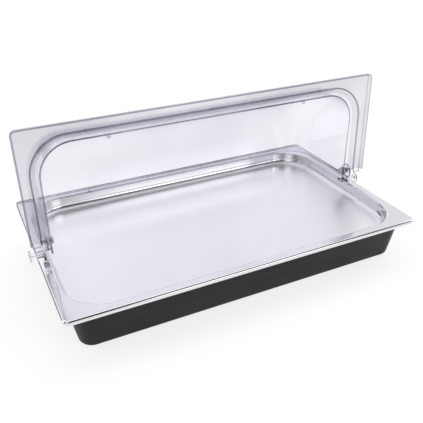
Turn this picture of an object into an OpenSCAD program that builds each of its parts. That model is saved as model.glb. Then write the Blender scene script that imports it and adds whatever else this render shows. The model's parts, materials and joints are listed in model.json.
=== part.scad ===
// Chilled food display pan: a black cooling tub, two cooling packs, a shallow
// stainless tray and a clear roll-top cover. Millimetres, +Z up, +X along the long
// side, -Y towards the person served. The origin is the middle of the tub's foot.

/* [Tray] */
// Length of the stainless tray over its rim
tray_length = 530; // [510:1:540]
// Width of the stainless tray over its rim
tray_width = 325; // [315:1:330]
// Depth of the tray below its rim
tray_depth = 20; // [18:1:30]
// Height of the turned-down lip round the rim
tray_lip = 6.5; // [5:0.5:9]
// Thickness of the steel sheet
sheet = 0.8; // [0.6:0.1:1]
// Width of the flat rim along the short sides
rim_side = 12; // [10:0.5:14]
// Width of the flat rim along the long sides
rim_long = 12; // [10:0.5:14]
// Corner radius of the tray's mouth
mouth_radius = 58; // [50:1:64]

/* [Cooling tub] */
// Height from the foot of the tub to the top of the tray's rim
tub_height = 65; // [62:1:100]
// How far the walls lean in from the band to the foot
tub_draft = 10; // [6:0.5:14]
// Wall thickness of the tub
tub_wall = 2.7; // [2:0.1:3]
// Corner radius of the tub's body under the band
tub_radius = 28; // [24:1:40]
// Rounding along the foot of the tub
foot_radius = 8; // [5:0.5:10]
// Depth of the thick band round the top of the tub
band_depth = 11; // [8:0.5:16]

/* [Cooling packs] */
// Length of one cooling pack, across the tub's long side
pack_width = 226; // [180:1:230]
// Length of one cooling pack from front to back
pack_depth = 258; // [200:1:262]
// Air gap between the packs and the tray
pack_gap = 2.5; // [1:0.5:10]

/* [Cover] */
// Height of the roll-top's pivot above the tray's rim
pivot_height = 18.5; // [18.5:0.5:24]
// How far the pivot lies in front of the tray's middle
pivot_front = 6; // [0:0.5:8]
// Outer radius of the fixed rear shell, measured from the pivot
rear_radius = 139; // [132:0.5:139.5]
// Outer radius of the moving front shell, measured from the pivot
front_radius = 143.5; // [143:0.5:146]
// Half the outer length of the fixed rear shell
rear_half = 244; // [240:0.5:245]
// Half the outer length of the moving front shell
front_half = 250; // [249:0.5:250]
// Wall thickness of both shells
cover_wall = 2.5; // [2:0.1:2.8]
// Rounding between the shells' side walls and their curved backs
cover_corner = 47; // [40:1:50]
// Half the length of the rear shell over its flange
rear_flange_half = 264.5; // [262:0.5:265]
// Half the length of the front shell over its flange
front_flange_half = 270.8; // [270:0.1:271]
// Reach of the front shell's flange in front of the pivot
front_reach = 165; // [158:0.5:168]
// Angle through which the front shell rolls back from closed
open_angle = 92; // [80:1:92]

/* [Hinges] */
// Diameter of the pivot pins
pin_diameter = 5; // [4:0.5:6]
// Diameter of the bracket's disc round the pivot
bracket_disc = 22; // [18:1:22]
// Width of the bracket's foot on the rim, front to back
bracket_width = 9; // [6:0.5:9]
// Radius of the round tab that hangs outside the tray
tab_radius = 8.2; // [6:0.1:8.5]

/* [Hidden] */
$fn = 96;
eps = 0.01;

rim_z = tub_height;
half_x = tray_length / 2;
half_y = tray_width / 2;

// tray
mouth_x = half_x - rim_side;
mouth_y = half_y - rim_long;
rim_corner = 10;
lip_bend = 2.5;
mouth_bend = 4;
floor_bend = 10;

// tub
band_x = half_x - 7;
band_y = half_y - 6;
band_corner = 32;
body_x = half_x - 12;
body_y = half_y - 9.5;
tub_top_z = rim_z - sheet;
rabbet_depth = 4.7;
rabbet_x = mouth_x + 0.6;
rabbet_y = mouth_y + 0.6;
tub_floor = 3.5;
floor_edge = tub_radius - tub_draft - foot_radius - 2;

// cooling packs
pack_z = tub_floor;
pack_height = rim_z - tray_depth - sheet - pack_gap - pack_z;
pack_centre = pack_width / 2 + 3;
pack_corner = 18;
panel_inset = 24;
panel_sink = 2;
plug_radius = 11;
plug_inset = 42;
plug_depth = 9;
slot_length = 14;
slot_width = 3;
slot_depth = 3;

// cover
pivot_z = rim_z + pivot_height;
flange_thick = 2.5;
flange_corner = 8;
flange_back = 160;
rear_bend = 3;
front_bend = 6.5;
rear_cut = 6;
front_cut = 7.5;
rear_start = 5;
front_start = 0.8;
notch_start = 6.2;
notch_x = 256;
past_upright = 12;
front_seat = 3.3;
wall_seat = 0.5;
front_lip = 4.5;
front_lip_thick = 2.5;
hub_radius = 15.5;
nub_radius = 3;
nub_reach = 3;
front_nub_radius = 2.2;
front_nub_out = 1;
nub_x = 150;
stop_x = 178;
stop_radius = 2.2;
stop_inset = 1.5;
stop_height = 5;
rib_x = 50;
rib_width = 1.6;
rib_proud = 1;

// hinges
pin_r = pin_diameter / 2;
press_gap = 0.03;
running_gap = 0.06;
plate_x = front_half + 1;
plate_thick = 3.5;
tab_x = front_flange_half + 0.3;
tab_thick = 2;
tab_z = rim_z + 0.3;
foot_thick = 3;
head_radius = 4.5;
head_thick = 2;
washer_radius = 7;
washer_play = 0.1;
cap_radius = 5.5;
cap_thick = 2.9;
cap_dome = 1;

// A rectangle with round corners, centred, given by its half sizes
module round_rect(hx, hy, r) {
    square([2 * (hx - r), 2 * hy], center = true);
    square([2 * hx, 2 * (hy - r)], center = true);
    for (sx = [-1, 1], sy = [-1, 1])
        translate([sx * (hx - r), sy * (hy - r)]) circle(r);
}

// A quarter of a ring: r_in to r_out, from from_angle for 90 degrees
module quarter_ring(r_in, r_out, from_angle) {
    intersection() {
        difference() {
            circle(r_out);
            circle(r_in);
        }
        rotate(from_angle) square(r_out + 1);
    }
}

// Carries a wall section round a rectangle with round corners of radius r. In the
// section, x is the distance out from the corner's centre and y is the height.
module round_the_rim(hx, hy, r) {
    for (q = [0:3]) {
        long_run = q % 2 == 0;
        run = long_run ? hy - r : hx - r;
        reach = long_run ? hx - r : hy - r;
        rotate(q * 90) {
            translate([reach, run, 0])
                rotate_extrude(angle = 90) children();
            translate([reach, run, 0])
                rotate([90, 0, 0])
                    linear_extrude(2 * run) children();
        }
    }
}

// Carries a wall section round the back and both sides of a shell. The side runs
// start at y = start and the section is given as in round_the_rim.
module round_the_back(hx, depth, r, start) {
    for (side = [0, 1]) mirror([side, 0, 0]) {
        translate([hx - r, depth - r, 0])
            rotate_extrude(angle = 90) children();
        translate([hx - r, depth - r, 0])
            rotate([90, 0, 0])
                linear_extrude(depth - r - start) children();
    }
    translate([r - hx, depth - r, 0])
        rotate([90, 0, 90])
            linear_extrude(2 * (hx - r)) children();
}

// ---------------------------------------------------------------- cooling tub

// How far the tub's wall has leaned in at height z
function lean(z) = tub_draft * (tub_top_z - band_depth - z)
    / (tub_top_z - band_depth);

// The outline of the tub's wall and floor in section, offset inwards by inset
module tub_section(inset, bottom, f) {
    k = tub_draft / (tub_top_z - band_depth);
    n = sqrt(1 + k * k);
    edge = tub_radius - inset;
    top = tub_top_z - rabbet_depth;
    centre_z = bottom + f;
    centre_u = edge - lean(centre_z) - f * n;
    translate([centre_u, centre_z]) circle(f);
    polygon([
        [0, bottom], [centre_u, bottom], [centre_u, centre_z],
        [centre_u + f / n, centre_z - f * k / n],
        [edge - lean(top), top], [0, top]
    ]);
}

module tub_wall_section() {
    difference() {
        tub_section(0, 0, foot_radius);
        tub_section(tub_wall, tub_floor, foot_radius - tub_wall);
        square([floor_edge, tub_top_z]);
    }
}

module base_tub() {
    color([0.13, 0.13, 0.15]) {
        round_the_rim(body_x, body_y, tub_radius) tub_wall_section();
        linear_extrude(tub_floor)
            round_rect(body_x - tub_radius + floor_edge,
                       body_y - tub_radius + floor_edge, floor_edge);
        // thick band that carries the tray's rim
        translate([0, 0, tub_top_z - band_depth])
            difference() {
                linear_extrude(band_depth) round_rect(band_x, band_y, band_corner);
                translate([0, 0, -1])
                    linear_extrude(band_depth + 2)
                        round_rect(body_x - tub_wall, body_y - tub_wall,
                                   tub_radius - tub_wall);
                translate([0, 0, band_depth - rabbet_depth])
                    linear_extrude(band_depth)
                        round_rect(rabbet_x, rabbet_y, tub_radius);
            }
    }
}

// -------------------------------------------------------------- cooling packs

module cooling_pack() {
    panel_x = pack_width / 2 - panel_inset;
    panel_y = pack_depth / 2 - panel_inset;
    difference() {
        linear_extrude(pack_height)
            round_rect(pack_width / 2, pack_depth / 2, pack_corner);
        translate([0, 0, pack_height - panel_sink])
            linear_extrude(panel_sink + 1)
                difference() {
                    round_rect(panel_x, panel_y, pack_corner);
                    translate([0, panel_y]) circle(plug_inset);
                }
        translate([0, pack_depth / 2 - plug_inset, pack_height - plug_depth])
            cylinder(r = plug_radius, h = plug_depth + 1);
    }
}

module pack_plug() {
    translate([0, pack_depth / 2 - plug_inset, pack_height - plug_depth]) {
        difference() {
            cylinder(r = plug_radius - press_gap, h = plug_depth - 1);
            translate([-slot_length / 2, -slot_width / 2, plug_depth - 1 - slot_depth])
                cube([slot_length, slot_width, slot_depth + 1]);
            translate([-slot_width / 2, -slot_length / 2, plug_depth - 1 - slot_depth])
                cube([slot_width, slot_length, slot_depth + 1]);
        }
    }
}

module cooling_pack_left() {
    color([0.80, 0.88, 0.93]) translate([-pack_centre, 0, pack_z]) cooling_pack();
}

module cooling_pack_right() {
    color([0.80, 0.88, 0.93]) translate([pack_centre, 0, pack_z]) cooling_pack();
}

module pack_plug_left() {
    color([0.16, 0.33, 0.55]) translate([-pack_centre, 0, pack_z]) pack_plug();
}

module pack_plug_right() {
    color([0.16, 0.33, 0.55]) translate([pack_centre, 0, pack_z]) pack_plug();
}

// ----------------------------------------------------------------- steel tray

// Mouth bend, wall and floor bend of the tray in section
module dish_section() {
    wall_u = mouth_radius - mouth_bend;
    translate([mouth_radius, -mouth_bend])
        quarter_ring(mouth_bend - sheet, mouth_bend, 90);
    translate([wall_u, -tray_depth + floor_bend])
        square([sheet, tray_depth - floor_bend - mouth_bend]);
    translate([wall_u - floor_bend, -tray_depth + floor_bend])
        quarter_ring(floor_bend, floor_bend + sheet, 270);
}

// Edge bend and turned-down lip in section
module lip_section() {
    translate([rim_corner - lip_bend, -lip_bend])
        quarter_ring(lip_bend - sheet, lip_bend, 0);
    translate([rim_corner - sheet, -tray_lip]) square([sheet, tray_lip - lip_bend]);
}

module steel_tray() {
    floor_r = mouth_radius - mouth_bend - floor_bend;
    shrink = mouth_bend + floor_bend;
    color([0.80, 0.80, 0.82]) translate([0, 0, rim_z]) {
        round_the_rim(half_x, half_y, rim_corner) lip_section();
        translate([0, 0, -sheet])
            linear_extrude(sheet)
                difference() {
                    round_rect(half_x - lip_bend, half_y - lip_bend,
                               rim_corner - lip_bend);
                    round_rect(mouth_x, mouth_y, mouth_radius);
                }
        round_the_rim(mouth_x, mouth_y, mouth_radius) dish_section();
        translate([0, 0, -tray_depth - sheet])
            linear_extrude(sheet)
                round_rect(mouth_x - shrink, mouth_y - shrink, floor_r);
    }
}

// ---------------------------------------------------------------------- cover

// Half of a shell's long section: x is the distance from the pivot line
module shell_half(hx, r, corner) {
    intersection() {
        round_rect_tall(hx, r, corner);
        translate([0, -hx - 1]) square([r + 1, 2 * hx + 2]);
    }
}

module round_rect_tall(hx, r, corner) {
    square([2 * (r - corner), 2 * hx], center = true);
    square([2 * r, 2 * (hx - corner)], center = true);
    for (sx = [-1, 1], sy = [-1, 1])
        translate([sx * (r - corner), sy * (hx - corner)]) circle(corner);
}

// A shell swept about the pivot line, from straight back to past upright
module swept_shell(hx, r, corner, past) {
    rotate([0, 90, 0])
        rotate(90)
            rotate_extrude(angle = 90 + past)
                difference() {
                    shell_half(hx, r, corner);
                    shell_half(hx - cover_wall, r - cover_wall, corner - cover_wall);
                }
}

// Wall up to the pivot and its bend to the flange, in section. Its foot stands
// seat above the rim.
module bend_section(corner, bend, seat) {
    translate([corner + bend, bend + flange_thick])
        quarter_ring(bend, bend + flange_thick, 180);
    translate([corner - cover_wall, bend + flange_thick])
        square([cover_wall, pivot_height - seat - bend - flange_thick]);
}

// Flat flange round the back and sides of a shell. It reaches out to half and
// depth, and starts at y = start.
module back_flange(half, depth, hx, r, corner, bend, start) {
    linear_extrude(flange_thick)
        difference() {
            intersection() {
                round_rect(half, depth, flange_corner);
                translate([-half, start]) square([2 * half, depth]);
            }
            intersection() {
                round_rect(hx + bend, r + bend, corner + bend);
                translate([-half, start - 1]) square([2 * half, depth + 1]);
            }
        }
}

// Lip that hangs down round the front shell's flange, outside the tray
module front_lips() {
    lip_top = flange_thick + front_lip;
    translate([0, 0, -front_lip])
        linear_extrude(lip_top)
            difference() {
                round_rect(front_flange_half, front_reach, flange_corner);
                round_rect(front_flange_half - front_lip_thick,
                           front_reach - front_lip_thick,
                           flange_corner - front_lip_thick);
                translate([-front_flange_half - 1, notch_start - 2 * front_reach])
                    square([2 * front_flange_half + 2, 2 * front_reach]);
            }
}

// The fixed rear shell
module rear_cover() {
    color([0.85, 0.88, 0.94, 0.35]) translate([0, -pivot_front, 0]) {
        difference() {
            union() {
                // curved back above the pivot
                intersection() {
                    translate([0, 0, pivot_z])
                        swept_shell(rear_half, rear_radius, cover_corner,
                                    past_upright);
                    translate([-rear_half - 1, -rear_cut, pivot_z])
                        cube([2 * rear_half + 2, 2 * rear_radius, 2 * rear_radius]);
                }
                translate([0, 0, rim_z]) {
                    round_the_back(rear_half, rear_radius, cover_corner, rear_start)
                        bend_section(cover_corner, rear_bend, 0);
                    back_flange(rear_flange_half, flange_back + pivot_front, rear_half,
                                rear_radius, cover_corner, rear_bend, rear_start);
                }
                // side walls in front of the flange
                for (side = [0, 1]) mirror([side, 0, 0])
                    translate([rear_half - cover_wall, -rear_cut, rim_z + wall_seat])
                        cube([cover_wall, rear_cut + rear_start,
                              pivot_height - wall_seat]);
                // nubs on the front edge
                for (side = [-1, 1])
                    translate([side * nub_x, -rear_cut + eps,
                               pivot_z + rear_radius - nub_radius])
                        rotate([90, 0, 0]) cylinder(r = nub_radius, h = nub_reach);
            }
            translate([0, 0, pivot_z])
                rotate([0, 90, 0])
                    cylinder(r = pin_r + press_gap, h = 2 * rear_half + 2,
                             center = true);
        }
    }
}

// The moving front shell in its closed place, mirrored to the back
module front_shape() {
    difference() {
        union() {
            intersection() {
                translate([0, 0, pivot_z])
                    swept_shell(front_half, front_radius, cover_corner, past_upright);
                translate([-front_half - 1, -front_cut, pivot_z])
                    cube([2 * front_half + 2, 2 * front_radius, 2 * front_radius]);
            }
            translate([0, 0, rim_z + front_seat]) {
                round_the_back(front_half, front_radius, cover_corner, notch_start)
                    bend_section(cover_corner, front_bend, front_seat);
                back_flange(front_flange_half, front_reach, front_half, front_radius,
                            cover_corner, front_bend, notch_start);
                // ends of the side flanges over the brackets' feet
                for (side = [0, 1]) mirror([side, 0, 0])
                    translate([notch_x, front_start, 0])
                        cube([front_flange_half - notch_x,
                              notch_start - front_start + 1, flange_thick]);
                front_lips();
            }
            // round ends of the side walls under the pivot
            for (side = [0, 1]) mirror([side, 0, 0])
                translate([front_half - cover_wall, 0, pivot_z])
                    rotate([90, 0, 90])
                        linear_extrude(cover_wall)
                            intersection() {
                                circle(hub_radius);
                                translate([-front_cut, -hub_radius])
                                    square([front_cut + notch_start, hub_radius]);
                            }
            // nubs that land on the rear flange when the shell is rolled back
            for (side = [-1, 1])
                translate([side * nub_x, -front_cut + eps,
                           pivot_z + front_radius + front_nub_out])
                    rotate([90, 0, 0])
                        cylinder(r = front_nub_radius, h = nub_reach);
            // stiffening ribs along the rolling edge
            for (i = [-3, -1, 1, 3])
                translate([i * rib_x - rib_width / 2, -front_cut,
                           pivot_z + front_radius - 1])
                    cube([rib_width, front_cut, 1 + rib_proud]);
            // locating nubs inside the front flange
            for (i = [-1:1])
                translate([i * stop_x, front_radius + front_bend - stop_inset,
                           rim_z + front_seat])
                    cylinder(r = stop_radius, h = stop_height);
        }
        translate([0, 0, pivot_z])
            rotate([0, 90, 0])
                cylinder(r = pin_r + running_gap, h = 2 * front_half + 2,
                         center = true);
    }
}

module front_cover() {
    color([0.88, 0.91, 0.97, 0.35])
        translate([0, -pivot_front, pivot_z])
            rotate([-open_angle, 0, 0])
                translate([0, 0, -pivot_z])
                    mirror([0, 1, 0]) front_shape();
}

// --------------------------------------------------------------------- hinges

// The hinge parts are drawn for the right side, with the pivot over y = 0
module hinge_bracket() {
    difference() {
        union() {
            translate([plate_x, 0, pivot_z])
                rotate([0, 90, 0]) cylinder(d = bracket_disc, h = plate_thick);
            translate([plate_x, -bracket_width / 2, rim_z])
                cube([plate_thick, bracket_width, pivot_height]);
            translate([plate_x, -bracket_width / 2, rim_z])
                cube([tab_x - plate_x + tab_thick, bracket_width, foot_thick]);
            translate([tab_x, 0, tab_z])
                rotate([0, 90, 0]) cylinder(r = tab_radius, h = tab_thick);
        }
        translate([plate_x - 1, 0, pivot_z])
            rotate([0, 90, 0]) cylinder(r = pin_r + press_gap, h = plate_thick + 2);
    }
}

module pivot_pin() {
    start = rear_half - cover_wall - cap_thick + cap_dome;
    stop = plate_x + plate_thick;
    translate([start, 0, pivot_z])
        rotate([0, 90, 0]) cylinder(r = pin_r, h = stop - start + eps);
    translate([stop, 0, pivot_z])
        rotate([0, 90, 0]) cylinder(r = head_radius, h = head_thick);
}

module hinge_washer() {
    gap = front_half - cover_wall - rear_half;
    translate([rear_half + washer_play, 0, pivot_z])
        rotate([0, 90, 0])
            difference() {
                cylinder(r = washer_radius, h = gap - 2 * washer_play);
                translate([0, 0, -1]) cylinder(r = pin_r + press_gap, h = gap + 2);
            }
}

module pin_cap() {
    translate([rear_half - cover_wall - cap_thick, 0, pivot_z])
        rotate([0, 90, 0])
            difference() {
                cylinder(r = cap_radius, h = cap_thick);
                translate([0, 0, cap_dome])
                    cylinder(r = pin_r + press_gap, h = cap_thick);
            }
}

// Puts a hinge part at its place: side = 1 on the right, -1 on the left
module at_hinge(side) {
    translate([0, -pivot_front, 0])
        if (side > 0) children();
        else mirror([1, 0, 0]) children();
}

module hinge_bracket_left() {
    color([0.86, 0.89, 0.95, 0.4]) at_hinge(-1) hinge_bracket();
}

module hinge_bracket_right() {
    color([0.86, 0.89, 0.95, 0.4]) at_hinge(1) hinge_bracket();
}

module pivot_pin_left() {
    color([0.72, 0.72, 0.75]) at_hinge(-1) pivot_pin();
}

module pivot_pin_right() {
    color([0.72, 0.72, 0.75]) at_hinge(1) pivot_pin();
}

module hinge_washer_left() {
    color([0.93, 0.94, 0.96]) at_hinge(-1) hinge_washer();
}

module hinge_washer_right() {
    color([0.93, 0.94, 0.96]) at_hinge(1) hinge_washer();
}

module pin_cap_left() {
    color([0.88, 0.90, 0.95]) at_hinge(-1) pin_cap();
}

module pin_cap_right() {
    color([0.88, 0.90, 0.95]) at_hinge(1) pin_cap();
}

base_tub();
cooling_pack_left();
cooling_pack_right();
pack_plug_left();
pack_plug_right();
steel_tray();
rear_cover();
front_cover();
hinge_bracket_left();
hinge_bracket_right();
pivot_pin_left();
pivot_pin_right();
hinge_washer_left();
hinge_washer_right();
pin_cap_left();
pin_cap_right();
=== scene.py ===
"""Looks of a chilled food display pan: black tub, cooling packs, steel tray and a
clear roll-top cover. Everything is in metres in the CAD model's own frame."""

import json
import math

import bmesh
import bpy
import numpy as np
from mathutils import Matrix, Vector
from mathutils.geometry import tessellate_polygon


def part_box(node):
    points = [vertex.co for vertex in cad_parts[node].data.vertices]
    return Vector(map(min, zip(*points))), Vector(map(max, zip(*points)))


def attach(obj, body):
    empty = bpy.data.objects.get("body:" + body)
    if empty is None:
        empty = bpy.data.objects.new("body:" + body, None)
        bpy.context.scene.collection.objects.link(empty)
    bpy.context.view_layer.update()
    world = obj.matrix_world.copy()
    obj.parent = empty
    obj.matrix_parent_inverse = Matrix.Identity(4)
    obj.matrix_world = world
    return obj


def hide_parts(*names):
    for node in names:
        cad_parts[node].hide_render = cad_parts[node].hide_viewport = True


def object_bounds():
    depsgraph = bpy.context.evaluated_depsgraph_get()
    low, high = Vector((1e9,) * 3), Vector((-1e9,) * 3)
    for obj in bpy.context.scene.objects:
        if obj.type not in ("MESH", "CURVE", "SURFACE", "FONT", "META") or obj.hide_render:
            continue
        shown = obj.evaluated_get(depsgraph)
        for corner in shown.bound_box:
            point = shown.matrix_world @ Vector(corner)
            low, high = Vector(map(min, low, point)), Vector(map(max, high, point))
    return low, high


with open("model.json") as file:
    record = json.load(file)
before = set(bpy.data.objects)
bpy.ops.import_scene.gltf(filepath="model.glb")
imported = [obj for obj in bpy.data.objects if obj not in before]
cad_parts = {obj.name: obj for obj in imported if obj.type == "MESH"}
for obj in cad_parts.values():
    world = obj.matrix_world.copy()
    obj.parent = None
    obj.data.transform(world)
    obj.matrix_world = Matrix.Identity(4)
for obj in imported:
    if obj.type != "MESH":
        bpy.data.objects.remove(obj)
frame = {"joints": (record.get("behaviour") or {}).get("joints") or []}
cad_low, cad_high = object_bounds()

MM = 0.001

# ------------------------------------------------------------------ measures

# Corners of the parts, as packed
TRAY_LOW, TRAY_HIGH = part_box("steel_tray")
TUB_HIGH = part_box("base_tub")[1]

RIM_Z = TRAY_HIGH.z
HALF_X = TRAY_HIGH.x
HALF_Y = TRAY_HIGH.y

# The line that the front half turns about, and how far it is rolled back at rest
ROLL = next(joint for joint in frame["joints"] if joint["name"] == "front_roll")
PIVOT = Vector(ROLL["pos_m"])
OPEN_ANGLE = math.radians(max(ROLL["range_deg"]))
PIVOT_UP = PIVOT.z - RIM_Z

# Steel tray
SHEET = 0.8 * MM
TRAY_DEPTH = RIM_Z - TRAY_LOW.z - SHEET
RIM_WIDTH = 12 * MM
RIM_CORNER = 10 * MM
MOUTH_RADIUS = 58 * MM
MOUTH_BEND = 4 * MM
FLOOR_BEND = 10 * MM
LIP_BEND = 3.5 * MM
LIP_DROP = 6.5 * MM
# The lip's lower edge turns in, towards the tub
LIP_TUCK = 3 * MM
LIP_TUCK_ANGLE = 40
LIP_TUCK_DROP = LIP_TUCK * math.sin(math.radians(LIP_TUCK_ANGLE))
TUCK_CENTRE = (RIM_CORNER - LIP_TUCK, LIP_DROP - LIP_TUCK_DROP - SHEET / 2)
# Heights above the tray's floor where its satin finish ends and its polish is full, and where
# the painted shade on the polished steel starts and is full
SATIN_TOP = 0.5 * MM
MIRROR_START = 6 * MM

# Cooling tub
TUB_TOP = TUB_HIGH.z
BAND_DEPTH = 11 * MM
BAND_CORNER = 32 * MM
BAND_STEP_X = 5 * MM
BAND_STEP_Y = 3.5 * MM
BAND_ROUNDING = 0.8 * MM
BAND_FILLET = 0.6 * MM
BAND_FILLET_OUT = 0.2 * MM
TUB_RADIUS = 28 * MM
TUB_LEAST_RADIUS = 2 * MM
TUB_DRAFT = 10 * MM
TUB_WALL = 2.7 * MM
TUB_FLOOR = 3.5 * MM
FOOT_RADIUS = 8 * MM
FOOT_RECESS = 1.2 * MM
RECESS_EDGE = 0.3 * MM
RECESS_EDGE_RISE = 0.2 * MM
RABBET_DEPTH = 4.7 * MM
RABBET_GAP = 0.6 * MM
RABBET_CHAMFER = 0.5 * MM
LEDGE_CHAMFER = 0.4 * MM

# Cooling packs
PACK_CORNER = 18 * MM
PACK_ROUNDING = 4 * MM
PANEL_INSET = 24 * MM
PANEL_SINK = 2 * MM
# Sections of the step down to the panel and of the plug's bore, as (inwards, down)
PANEL_STEP = [(0, 0), (0.3 * MM, 0.2 * MM), (1.2 * MM, PANEL_SINK - 0.2 * MM),
              (1.7 * MM, PANEL_SINK)]
BORE_STEP = [(0, 0), (0.4 * MM, 0.4 * MM), (0.45 * MM, 9 * MM)]
BORE_GAP = 0.4 * MM
# Raised beads across the panel
BEAD_COUNT = 4
BEAD_RADIUS = 5 * MM
BEAD_MARGIN = 22 * MM
BEAD_START = 26 * MM
BEAD_STEP = 34 * MM
BEAD_RISE = 1.2 * MM
BEAD_ROUNDING = 1 * MM
PLUG_RADIUS = 11 * MM
PLUG_INSET = 42 * MM
CROSS_LENGTH = 14 * MM
CROSS_WIDTH = 3 * MM
CROSS_DEPTH = 3 * MM

# Cover shells. HALF is half the width, RADIUS the arch's, CUT how far a half reaches
# past the pivot, START where its flange begins, and SEAT its flange's height above the rim
WALL = 2.5 * MM
WALL_ROUNDING = 0.4 * MM
# Clear pieces stand this far off the steel, so that the two faces don't share a plane
SEAT_GAP = 0.15 * MM
SHELL_CORNER = 47 * MM
REAR_HALF = 244 * MM
REAR_RADIUS = 139 * MM
REAR_CUT = 6 * MM
REAR_BEND = 3 * MM
REAR_START = 5 * MM
REAR_FLANGE_HALF = 264.5 * MM
REAR_FLANGE_DEPTH = 166 * MM
FRONT_HALF = 250 * MM
FRONT_RADIUS = 143.5 * MM
FRONT_CUT = 7.5 * MM
FRONT_BEND = 6.5 * MM
FRONT_START = 6.2 * MM
FRONT_SEAT = 3.3 * MM
FRONT_FLANGE_HALF = 270.8 * MM
FRONT_FLANGE_DEPTH = 165 * MM
FLANGE_CORNER = 8 * MM
# The front flange's hanging lip
LIP_EDGE = 3 * MM
LIP_HANG = 4.5 * MM
HUB_RADIUS = 15.5 * MM
FLANGE_END_X = 256.5 * MM
FLANGE_END_Y = 0.8 * MM
# Direction from the pivot to the upper back of a half
UP_AND_BACK = Vector((0, 0.7, 0.7))
# How far the rear half's side walls end above the rim
SIDE_GAP = 0.5 * MM
# Nubs, stops and ribs start this far inside the wall, so that they join it
ROOT = 0.3 * MM
NUB_ROUNDING = 0.6 * MM
NUB_RADIUS = 3 * MM
NUB_REACH = 3 * MM
FRONT_NUB_RADIUS = 2.2 * MM
FRONT_NUB_OUT = 1 * MM
NUB_X = 150 * MM
STOP_X = 178 * MM
STOP_RADIUS = 2.2 * MM
STOP_HEIGHT = 5 * MM
STOP_INSET = 1.5 * MM
RIB_STEP = 50 * MM
RIB_HALF = 0.8 * MM
RIB_END_GAP = 0.5 * MM
RIB_DEPTH = 0.6 * MM
RIB_HEIGHT = 0.9 * MM
RIB_ROUNDING = 0.3 * MM

# Hinge brackets and what is on their pins
PLATE_ROUNDING = 0.5 * MM
DISC_RADIUS = 11 * MM
PLATE_THICK = 3.5 * MM
FOOT_THICK = 3 * MM
FOOT_HALF = 4.5 * MM
FOOT_ROOT = 0.2 * MM
TAB_THICK = 2 * MM
TAB_RAISE = 0.3 * MM
PIN_RADIUS = 2.5 * MM
PIN_CHAMFER = 0.5 * MM
PIN_BORE = PIN_RADIUS + 0.03 * MM
HEAD_THICK = 2 * MM
HEAD_ROUNDING = 0.6 * MM
DIMPLE_RADIUS = 1.6 * MM
DIMPLE_DEPTH = 0.6 * MM
DIMPLE_FLOOR = 1.2 * MM
SMALL_CHAMFER = 0.2 * MM
CAP_DOME = 1 * MM
CAP_FLAT = 1 * MM

# Places of a shell's face materials. A wall's rim takes the one after its face's
# Every place but the wall's face takes a darker clear material: painted shade on the flange,
# painted dark lines on the bend and the rims
WALL_FACE, FLANGE_FACE, BEND_FACE = 0, 2, 4

# Steps in round stretches
CORNER_STEPS = 14
BEND_STEPS = 6
ARCH_STEPS = 40
SIDE_STEPS = 8
SPAN_STEPS = 12
ROUND_STEPS = 8
SOFT_STEPS = 5
HEM_STEPS = 4
EDGE_STEPS = 3
LATHE_STEPS = 48

# Points closer than this become one, and edges with a larger angle are rounded
MERGE = 0.001 * MM
SHARP_ANGLE = math.radians(40)


# ------------------------------------------------------------- shader helpers

def soft_range(tree, value, start, stop, low, high):
    """value from start..stop to low..high, with soft ends."""
    node = tree.nodes.new("ShaderNodeMapRange")
    node.interpolation_type = "SMOOTHSTEP"
    node.inputs["From Min"].default_value = start
    node.inputs["From Max"].default_value = stop
    node.inputs["To Min"].default_value = low
    node.inputs["To Max"].default_value = high
    tree.links.new(value, node.inputs["Value"])
    return node.outputs["Result"]


class Nodes:
    """A material's node tree with one Principled shader, and short ways to add to it."""

    def __init__(self, name):
        self.material = bpy.data.materials.new(name)
        self.material.use_nodes = True
        self.tree = self.material.node_tree
        self.shader = self.tree.nodes["Principled BSDF"]
        self.output = self.tree.nodes["Material Output"]

    def add(self, kind, **values):
        node = self.tree.nodes.new("ShaderNode" + kind)
        for key, value in values.items():
            if hasattr(node, key):
                setattr(node, key, value)
            else:
                node.inputs[key.replace("_", " ")].default_value = value
        return node

    def link(self, output, socket):
        self.tree.links.new(output, socket)

    def where(self, scale=(1, 1, 1)):
        """Places on the piece in metres, stretched by scale."""
        coords = self.add("TexCoord")
        mapping = self.add("Mapping")
        mapping.inputs["Scale"].default_value = scale
        self.link(coords.outputs["Object"], mapping.inputs["Vector"])
        return mapping.outputs["Vector"]

    def noise(self, scale, detail, rough=0.5, stretch=(1, 1, 1)):
        node = self.add("TexNoise", Scale=scale, Detail=detail, Roughness=rough)
        self.link(self.where(stretch), node.inputs["Vector"])
        return node.outputs["Fac"]

    def spread(self, fac, low, high, bottom=0.3, top=0.7):
        """fac from bottom..top, most of a noise's range, to low..high."""
        return soft_range(self.tree, fac, bottom, top, low, high)

    def blend(self, fac, dark, light):
        """A colour between dark and light."""
        node = self.add("Mix", data_type="RGBA")
        for socket, colour in ((node.inputs[6], dark), (node.inputs[7], light)):
            if isinstance(colour, tuple):
                socket.default_value = (*colour, 1)
            else:
                self.link(colour, socket)
        self.link(fac, node.inputs["Factor"])
        return node.outputs[2]

    def power(self, value, exponent):
        node = self.add("Math", operation="POWER")
        self.link(value, node.inputs[0])
        node.inputs[1].default_value = exponent
        return node.outputs[0]

    def bump(self, height, distance, strength, under=None):
        """A surface normal from height, on top of the bumps of under."""
        node = self.add("Bump", Strength=strength, Distance=distance)
        self.link(height, node.inputs["Height"])
        if under is not None:
            self.link(under, node.inputs["Normal"])
        return node.outputs["Normal"]

    def set(self, **values):
        """Sets or links the Principled shader's sockets."""
        for key, value in values.items():
            socket = self.shader.inputs[key.replace("_", " ")]
            if isinstance(value, bpy.types.NodeSocket):
                self.link(value, socket)
            elif isinstance(value, tuple) and len(value) == 3:
                socket.default_value = (*value, 1)
            else:
                socket.default_value = value
        return self


# ------------------------------------------------------------------ materials

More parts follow.
